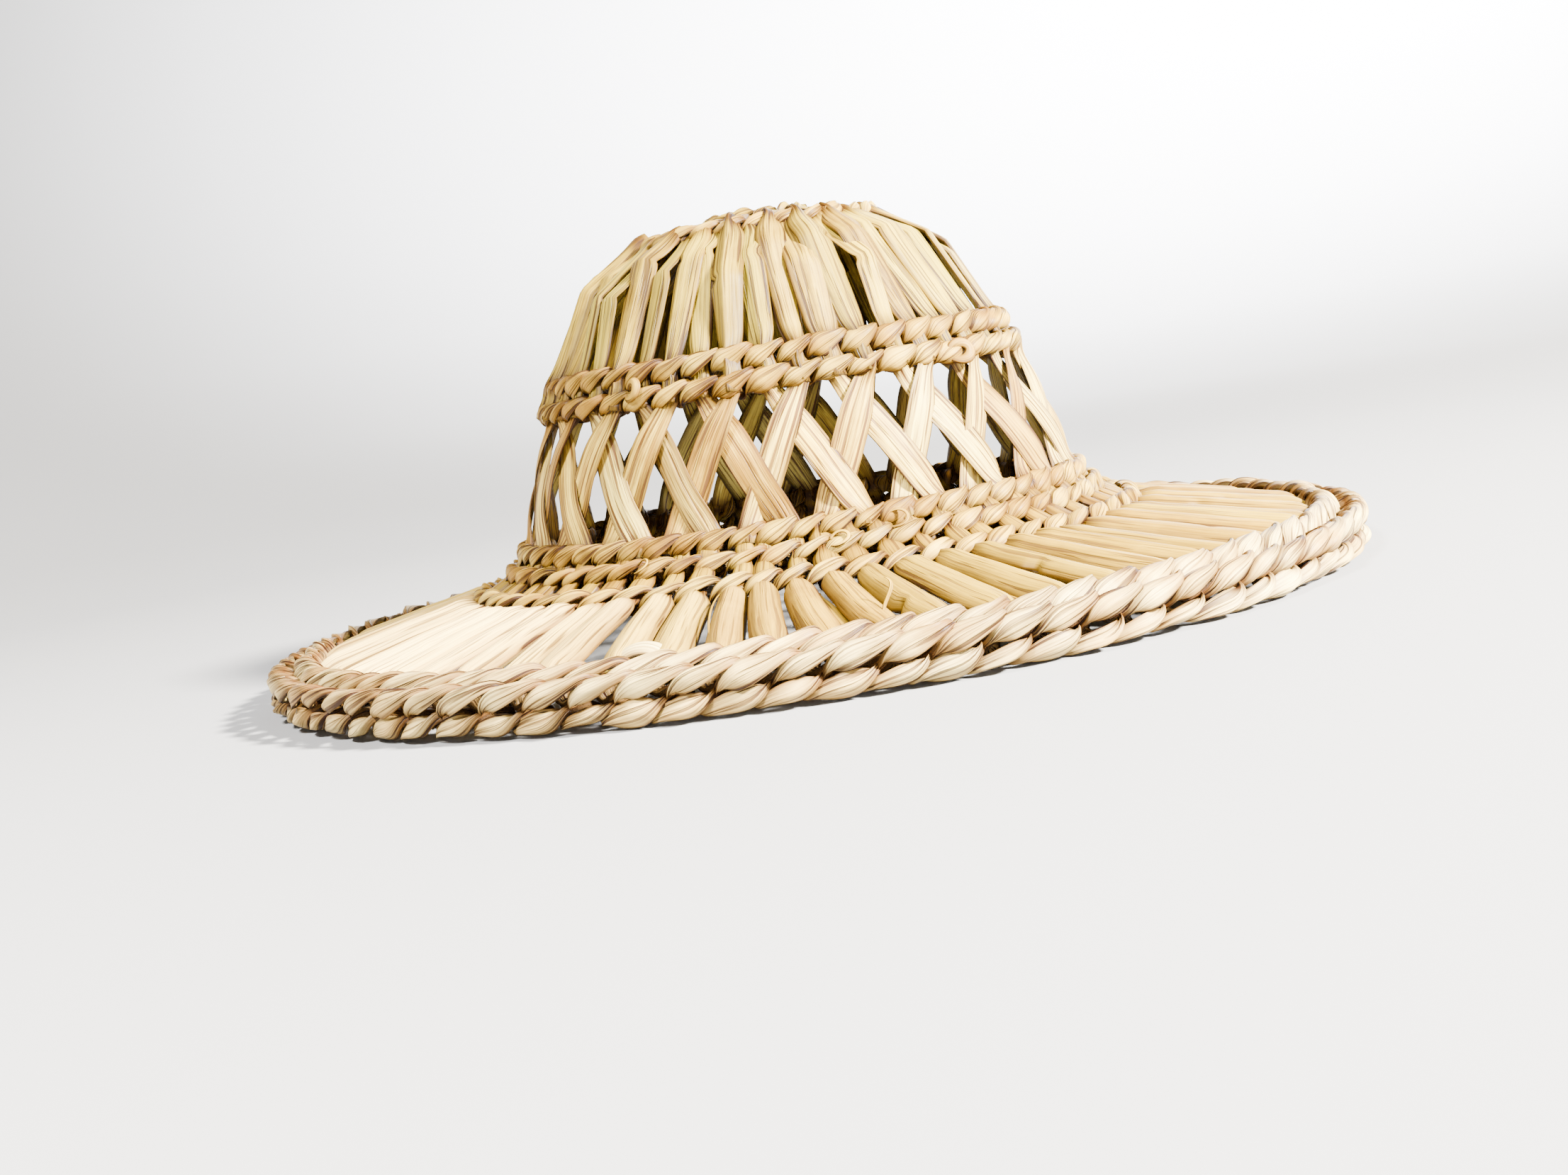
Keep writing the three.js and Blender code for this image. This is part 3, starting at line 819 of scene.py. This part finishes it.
def fibre_group():
    """Dry reed: streaks, fine fibres, dark splits and blotches.

    Fibre is the piece's own map in metres, along a reed and then across it. The colour goes from
    pale to deep by broad streaks, blotches and the reed's tone, to the tint by the reed's hue, and to
    a pale colour by the painted light, which stands in for light falling more strongly there. Fine
    fibres and splits darken it, and the painted shade darkens it where shade would fall and brings out
    more of both. The roughness is 0.34 plus a quarter of the fine fibres' noise. The height is the
    streaks' noise plus 0.6 of the fine fibres', less 1.2 in a split.
    """
    inputs = [
        ("Fibre", "Vector"), ("Place", "Vector"), ("Tone", "Float"), ("Hue", "Float"),
        ("Tuck", "Float"), ("Pale", "Color"), ("Deep", "Color"), ("Tint", "Color"),
        ("Split colour", "Color"), ("Splits", "Float"), ("Streaks", "Float"), ("Fine", "Float"),
        ("Bleach", "Float"),
    ]
    outputs = [("Colour", "Color"), ("Roughness", "Float"), ("Height", "Float")]
    tree, given, out = new_group("dry_reed", inputs, outputs)
    fibre, place = given.outputs["Fibre"], given.outputs["Place"]
    fine = stretched_noise(tree, fibre, FINE_MARKS)
    broad = stretched_noise(tree, fibre, STREAK_MARKS)
    split = stretched_noise(tree, fibre, SPLIT_MARKS, detail=1.5)
    blotch = stretched_noise(tree, place, BLOTCHES, detail=4)

    streak = math_node(tree, "MULTIPLY", span(tree, broad, 0.34, 0.66), given.outputs["Streaks"])
    tone = math_node(tree, "MULTIPLY_ADD", given.outputs["Tone"], 0.75, streak)
    depth = math_node(tree, "MULTIPLY_ADD", span(tree, blotch, 0.42, 0.72), 0.4, tone)
    depth = math_node(tree, "MINIMUM", depth, 1.0)
    colour = mix(tree, depth, given.outputs["Pale"], given.outputs["Deep"])
    tinted = math_node(tree, "MULTIPLY", span(tree, given.outputs["Hue"], 0.35, 1), 0.6)
    colour = mix(tree, tinted, colour, given.outputs["Tint"])
    # Painted light: the colour is drawn towards a pale one where the reed would be lit more.
    bleach = math_node(tree, "MULTIPLY", given.outputs["Bleach"], 0.75)
    colour = mix(tree, bleach, colour, PAINTED_LIGHT_COLOUR)
    fine_shade = mix(tree, span(tree, fine, 0.34, 0.54), FURROW, CREST)
    # Painted shade also brings out the fine fibres and the splits.
    fineness = math_node(tree, "MULTIPLY_ADD", given.outputs["Tuck"], 0.4, given.outputs["Fine"])
    fineness = math_node(tree, "MINIMUM", fineness, 1.0)
    colour = mix(tree, fineness, colour, fine_shade, "MULTIPLY")
    splits = math_node(tree, "MULTIPLY_ADD", given.outputs["Tuck"], 0.5, given.outputs["Splits"])
    splits = math_node(tree, "MINIMUM", splits, 1.0)
    line = math_node(tree, "MULTIPLY", span(tree, split, 0.55, 0.61), splits)
    colour = mix(tree, line, colour, given.outputs["Split colour"])
    # Painted shade: the colour is multiplied towards a dark brown where shade would fall.
    shade_share = math_node(tree, "MULTIPLY", given.outputs["Tuck"], 0.96)
    colour = mix(tree, shade_share, colour, PAINTED_SHADE_COLOUR, "MULTIPLY")

    rough = math_node(tree, "MULTIPLY_ADD", fine, 0.25, 0.34)
    ridges = math_node(tree, "MULTIPLY_ADD", fine, 0.6, broad)
    height = math_node(tree, "MULTIPLY_ADD", line, -1.2, ridges)
    feed(tree, out, {"Colour": colour, "Roughness": rough, "Height": height})
    return tree

def reed_material(name, group, pale, deep, tint, split, splits, streaks, fine, relief):
    """A dry reed's finish, from the shared group with this material's own values."""
    material = bpy.data.materials.new(name)
    material.use_nodes = True
    tree = material.node_tree
    shader = tree.nodes["Principled BSDF"]
    fibre = tree.nodes.new("ShaderNodeUVMap")
    fibre.uv_map = "fibre"
    place = tree.nodes.new("ShaderNodeTexCoord")
    reed = tree.nodes.new("ShaderNodeGroup")
    reed.node_tree = group
    for socket in ("Tone", "Hue", "Tuck", "Bleach"):
        value = tree.nodes.new("ShaderNodeAttribute")
        value.attribute_name = socket.lower()
        feed(tree, reed, {socket: value.outputs["Fac"]})
    feed(tree, reed, {
        "Fibre": fibre.outputs[0],
        "Place": place.outputs["Object"],
        "Pale": (*pale, 1),
        "Deep": (*deep, 1),
        "Tint": (*tint, 1),
        "Split colour": (*split, 1),
        "Splits": splits,
        "Streaks": streaks,
        "Fine": fine,
    })
    bump = tree.nodes.new("ShaderNodeBump")
    feed(tree, bump, {"Strength": relief, "Distance": 0.5 * MM, "Height": reed.outputs["Height"]})
    feed(tree, shader, {
        "Base Color": reed.outputs["Colour"],
        "Roughness": reed.outputs["Roughness"],
        "Normal": bump.outputs[0],
        "Specular IOR Level": 0.12,
    })
    return material

# The hat

# The colours of each finish and the strength of its marks.
FINISHES = {
    "crown_reed": {
        "pale": (0.4, 0.285, 0.023), "deep": (0.14, 0.077, 0.007), "tint": (0.28, 0.225, 0.021),
        "split": (0.05, 0.025, 0.006), "splits": 0.8, "streaks": 0.28, "fine": 0.55, "relief": 0.8,
    },
    "strip_reed": {
        "pale": (0.62, 0.46, 0.072), "deep": (0.24, 0.13, 0.013), "tint": (0.62, 0.53, 0.16),
        "split": (0.09, 0.04, 0.01), "splits": 0.9, "streaks": 0.7, "fine": 0.9, "relief": 0.8,
    },
    "brim_reed": {
        "pale": (0.36, 0.222, 0.01), "deep": (0.16, 0.084, 0.004), "tint": (0.29, 0.2, 0.01),
        "split": (0.06, 0.026, 0.006), "splits": 0.6, "streaks": 0.35, "fine": 0.35, "relief": 0.7,
    },
    "twined_reed": {
        "pale": (0.5, 0.33, 0.036), "deep": (0.21, 0.11, 0.01), "tint": (0.52, 0.39, 0.068),
        "split": (0.06, 0.026, 0.006), "splits": 0.65, "streaks": 0.55, "fine": 0.6, "relief": 1.0,
    },
    "edge_reed": {
        "pale": (0.72, 0.54, 0.19), "deep": (0.32, 0.19, 0.05), "tint": (0.72, 0.62, 0.27),
        "split": (0.06, 0.026, 0.008), "splits": 0.65, "streaks": 0.55, "fine": 0.6, "relief": 1.0,
    },
}
dry_reed = fibre_group()
materials = {slot: reed_material(slot, dry_reed, **finish) for slot, finish in FINISHES.items()}

def dress(name, node, slot, groups):
    """A finished piece that stands for a node and takes the slot's finish."""
    piece = add_tubes(name, groups + loose_ends(node))
    piece.data.materials.append(materials[slot])
    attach(piece, "root")
    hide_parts(node)

dress("crown_reed_wall", "crown_reeds", "crown_reed", [crown_reed_group()])
dress("openwork_strips", "openwork", "strip_reed", [openwork_group()])
dress("collar_stubs", "collar_reeds", "brim_reed", [collar_group()])
dress("brim_reed_wall", "brim_reeds", "brim_reed", brim_groups())
tip_row = twined(SEEDS["tip_row"], wall_at(TIP_ROW_AT), **row_sizes(TIP_ROW_SIZES))
dress("tip_cap", "tip", "crown_reed", [tip_group(), tip_row])
for seed, (node, sizes) in enumerate(ROW_SIZES.items(), start=SEEDS["rows"]):
    slot = "edge_reed" if node.startswith("edge") else "twined_reed"
    phase = 0.5 if node == "edge_upper_row" else 0
    turn_of = crowded if node == "brim_row" else None
    row = twined(seed, row_place(node), **row_sizes(sizes), phase=phase, turn_of=turn_of)
    if node == "edge_lower_row":
        # The lowest strand rests on the floor.
        row["points"][..., 2] -= row["points"][..., 2].min()
    dress(node + "_twine", node, slot, [row])

# The stage

def bowl(name, flat, bend, rise):
    """A floor that turns up all round: flat to a radius, then an arc, then straight up."""
    arc = np.linspace(0, math.pi / 2, 12)
    radius = np.concatenate([[0.02, 0.5 * flat], flat + bend * np.sin(arc), [flat + bend]])
    height = np.concatenate([[0, 0], bend * (1 - np.cos(arc)), [bend + rise]])
    turn = np.linspace(0, 2 * math.pi, 97)[:-1]
    points = np.stack([
        radius[:, None] * np.cos(turn), radius[:, None] * np.sin(turn), height[:, None] + 0 * turn,
    ], -1)
    index = np.arange(len(radius) * len(turn)).reshape(len(radius), len(turn))
    low, high = index[:-1], index[1:]
    quads = np.stack([low, high, np.roll(high, -1, 1), np.roll(low, -1, 1)], -1).reshape(-1, 4)
    cap = index[0][None]
    return add_mesh(name, points, [quads, cap], fibre=points[..., :2], values={})

floor = bowl("floor", flat=0.8, bend=2.4, rise=1)
plain = bpy.data.materials.new("plain_floor")
plain.use_nodes = True
feed(plain.node_tree, plain.node_tree.nodes["Principled BSDF"], {
    "Base Color": (0.21, 0.21, 0.213, 1), "Roughness": 0.9, "Specular IOR Level": 0.2,
})
floor.data.materials.append(plain)

def soft_light(name, place, aim, size, power, colour, spread=180):
    """A round lamp of a size in metres, a power in watts and a spread in degrees."""
    light = bpy.data.lights.new(name, "AREA")
    light.shape = "DISK"
    light.size = size
    light.energy = power
    light.color = colour
    light.spread = math.radians(spread)
    lamp = bpy.data.objects.new(name, light)
    lamp.location = place
    lamp.rotation_mode = "QUATERNION"
    lamp.rotation_quaternion = (Vector(aim) - Vector(place)).to_track_quat("-Z", "Y")
    bpy.context.scene.collection.objects.link(lamp)

soft_light(
    "front_left", place=(-0.5, -0.9, 1.1), aim=(0, 0, 0.06), size=0.3, power=115,
    colour=(1, 0.98, 0.95),
)
# This one aims beside the hat, so that it lights the backdrop behind it too.
soft_light(
    "right_side", place=(1.5, -0.95, 1.15), aim=(0.75, -0.475, 0), size=0.28, power=1240,
    colour=(1, 0.95, 0.86),
)
soft_light(
    "backdrop_light", place=(0.8, 0.9, 1.9), aim=(1.0, 3.0, 0.6), size=1.2, power=1250,
    colour=(0.97, 0.98, 1), spread=110,
)

world = bpy.data.worlds.new("pale_room")
world.use_nodes = True
feed(world.node_tree, world.node_tree.nodes["Background"], {
    "Color": (0.95, 0.97, 1, 1), "Strength": 0.12,
})
bpy.context.scene.world = world

# The camera stands where the photograph was taken from, turned about its line of sight as there. Its
# focal length is in pixels of the photograph, and its place in millimetres.
PHOTO_WIDTH = 2212
FOCAL_PIXELS = 2400
camera_place = Vector((-10.77, -629.94, 87.3)) * MM
camera_right = Vector((0.98721, -0.01902, -0.15829))
camera_up = Vector((0.15942, 0.11779, 0.98016))
camera_data = bpy.data.cameras.new("camera")
camera_data.sensor_width = 36
camera_data.lens = FOCAL_PIXELS / PHOTO_WIDTH * camera_data.sensor_width
camera_data.clip_start = 0.01
camera = bpy.data.objects.new("camera", camera_data)
back = camera_right.cross(camera_up)
turned = Matrix((camera_right, camera_up, back)).transposed().to_4x4()
camera.matrix_world = Matrix.Translation(camera_place) @ turned
bpy.context.scene.collection.objects.link(camera)
bpy.context.scene.camera = camera
